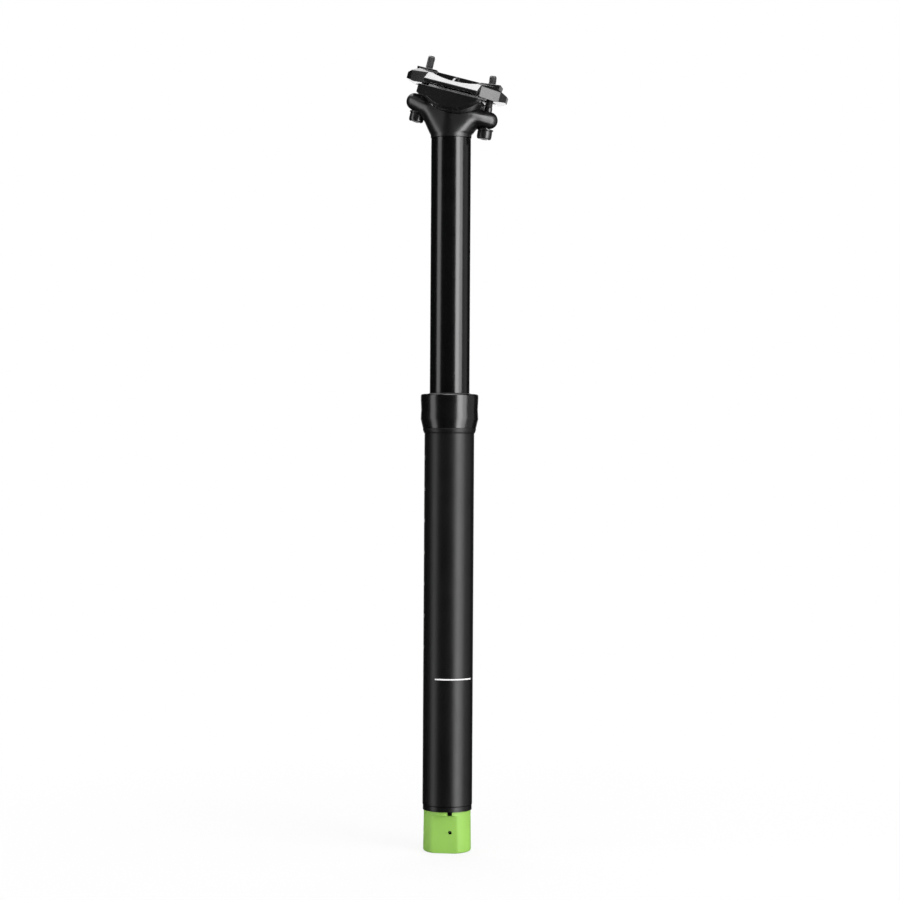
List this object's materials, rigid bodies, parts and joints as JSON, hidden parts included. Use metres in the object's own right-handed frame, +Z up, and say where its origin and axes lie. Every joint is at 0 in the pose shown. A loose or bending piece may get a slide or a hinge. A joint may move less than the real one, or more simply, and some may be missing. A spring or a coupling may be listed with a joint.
{
  "type": "dropper seatpost",
  "caption": "Round telescoping bicycle seatpost with a two-bolt saddle rail clamp, a sliding stanchion, a locking gas cartridge and a cable actuator under a cap at its foot.",
  "frame": {"origin": "on the post's axis, at the underside of the outer tube's shoulder, where the post stops in the frame", "axes": "+Z up the post, +X to the front of the bicycle, +Y to its left side"},
  "size_m": [0.065, 0.055, 0.5054],
  "materials": {
    "matte_tube": "matte black anodised",
    "gloss_collar": "gloss black anodised",
    "gloss_stanchion": "gloss black hard anodised",
    "black_aluminium": "satin black anodised forging",
    "clamp_aluminium": "satin black anodised",
    "plain_aluminium": "plain drawn",
    "black_steel": "black oxide",
    "bright_steel": "ground",
    "brass": "turned",
    "seal_rubber": "matte",
    "bushing_plastic": "filled bearing plastic",
    "green_plastic": "moulded satin"
  },
  "bodies": {
    "lower": {"outer_tube": "matte_tube", "collar": "gloss_collar", "wiper_seal": "seal_rubber", "upper_bushing": "bushing_plastic", "actuator_foot": "black_aluminium", "rod_nut": "bright_steel", "cartridge_rod": "bright_steel", "piston": "brass", "piston_seal": "seal_rubber", "lever_pivot_pin": "bright_steel", "lever_spring": "bright_steel", "actuator_cap": "green_plastic"},
    "upper": {"stanchion": "gloss_stanchion", "head": "black_aluminium", "guide_keys": "brass", "glide_bushing": "bushing_plastic", "cartridge_retainer": "plain_aluminium", "cartridge_cylinder": "plain_aluminium", "rod_gland": "brass", "rod_seal": "seal_rubber", "cartridge_top_plug": "plain_aluminium", "clamp_bolts": "black_steel", "bolt_washers": "black_steel"},
    "saddle_clamp": {"lower_cradle": "clamp_aluminium", "upper_clamp": "clamp_aluminium"},
    "front_nut": {"front_barrel_nut": "black_steel"},
    "rear_nut": {"rear_barrel_nut": "black_steel"},
    "lever": {"actuator_lever": "black_aluminium", "cable_barrel": "bright_steel", "barrel_screw": "black_steel"},
    "release_pin": {"release_pin": "bright_steel"},
    "floating_piston": {"floating_piston": "brass", "floating_seal": "seal_rubber"}
  },
  "joints": [
    {"name": "post_drop", "type": "slide", "parent": "lower", "child": "upper", "axis": [0, 0, 1], "range_m": [-0.15, 0], "stiffness_N_per_m": 200, "springref_m": 0.25},
    {"name": "saddle_tilt", "type": "hinge", "parent": "upper", "child": "saddle_clamp", "pos_m": [0.00595, 0, 0.22722], "axis": [0, 1, 0], "range_deg": [-6, 6]},
    {"name": "front_nut_travel", "type": "slide", "parent": "upper", "child": "front_nut", "axis": [0.1478, 0, 0.989], "range_m": [-0.00219, 0.00219]},
    {"name": "rear_nut_travel", "type": "slide", "parent": "upper", "child": "rear_nut", "axis": [0.2419, 0, 0.9703], "range_m": [-0.0023, 0.0023]},
    {"name": "lever_swing", "type": "hinge", "parent": "lower", "child": "lever", "pos_m": [0.0023, 0, -0.2505], "axis": [0, 1, 0], "range_deg": [0, 20], "stiffness_Nm_per_rad": 0.15, "springref_deg": -17.19, "deforming": ["lever_spring"]},
    {"name": "release_pin_lift", "type": "slide", "parent": "lower", "child": "release_pin", "axis": [0, 0, 1], "range_m": [0, 0.00062]},
    {"name": "floating_piston_slide", "type": "slide", "parent": "upper", "child": "floating_piston", "axis": [0, 0, 1], "range_m": [0, 0.0325]}
  ],
  "couplings": [
    {"joint": "saddle_tilt", "follows": "front_nut_travel", "rad_per_m": -47.619},
    {"joint": "rear_nut_travel", "follows": "front_nut_travel", "ratio": -1},
    {"joint": "lever_swing", "follows": "release_pin_lift", "rad_per_m": 559.6},
    {"joint": "floating_piston_slide", "follows": "post_drop", "ratio": -0.21633}
  ]
}
